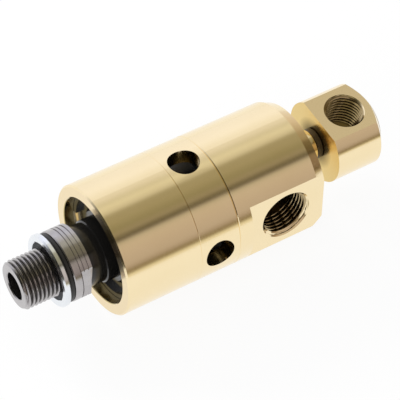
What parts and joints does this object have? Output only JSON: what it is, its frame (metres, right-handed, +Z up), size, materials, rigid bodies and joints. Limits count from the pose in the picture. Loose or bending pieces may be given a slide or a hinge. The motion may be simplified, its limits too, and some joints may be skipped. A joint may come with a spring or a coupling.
{
  "type": "hydraulic rotary union",
  "caption": "Brass rotary union with a threaded spinning steel rotor, vent holes, a side port and a rear elbow with its own port.",
  "frame": {"origin": "on the spin axis, at the front face of the sealing washer, where the union seats on the machine's shaft", "axes": "+X along the spin axis, from the rotor thread towards the rear elbow; +Z up, through the top vent hole; the side port faces -Y"},
  "size_m": [0.1302, 0.043, 0.043],
  "materials": {
    "brass": "fine turned, bright",
    "rubber": "matt",
    "black_steel": "black oxide, oiled",
    "bearing_steel": "ground",
    "rotor_steel": "fine turned",
    "zinc": "bright zinc",
    "carbide": "lapped",
    "carbon": "matt graphite",
    "cage": "machined"
  },
  "bodies": {
    "housing": {"front_housing": "brass", "seal_housing": "brass", "end_cap": "brass", "cap_oring": "rubber", "bearing_circlip": "black_steel", "dust_seal": "rubber", "bearing_outer_front": "bearing_steel", "bearing_outer_rear": "bearing_steel", "drive_pins": "bearing_steel", "disc_springs": "bearing_steel", "nipple": "brass", "elbow_oring": "rubber", "elbow": "brass"},
    "rotor": {"rotor": "rotor_steel", "sealing_washer": "zinc", "gasket_ring": "rubber", "neck_sleeve": "black_steel", "bearing_inner_front": "bearing_steel", "bearing_inner_rear": "bearing_steel", "shaft_circlip": "black_steel", "seal_seat": "carbide"},
    "rolling_front": {"rollers_front": "bearing_steel", "cage_front": "cage"},
    "rolling_rear": {"rollers_rear": "bearing_steel", "cage_rear": "cage"},
    "carbon": {"carbon_ring": "carbon", "carbon_oring": "rubber"}
  },
  "joints": [
    {"name": "rotor_spin", "type": "hinge", "parent": "housing", "child": "rotor", "pos_m": [0, 0, 0], "axis": [1, 0, 0], "continuous": true},
    {"name": "rolling_front_spin", "type": "hinge", "parent": "housing", "child": "rolling_front", "pos_m": [0.0274, 0, 0], "axis": [1, 0, 0], "continuous": true},
    {"name": "rolling_rear_spin", "type": "hinge", "parent": "housing", "child": "rolling_rear", "pos_m": [0.0374, 0, 0], "axis": [1, 0, 0], "continuous": true},
    {"name": "carbon_slide", "type": "slide", "parent": "housing", "child": "carbon", "axis": [1, 0, 0], "range_m": [0, 0.0008], "stiffness_N_per_m": 800, "springref_m": -0.001}
  ],
  "couplings": [
    {"joint": "rolling_front_spin", "follows": "rotor_spin", "ratio": 0.4115},
    {"joint": "rolling_rear_spin", "follows": "rotor_spin", "ratio": 0.4115}
  ]
}
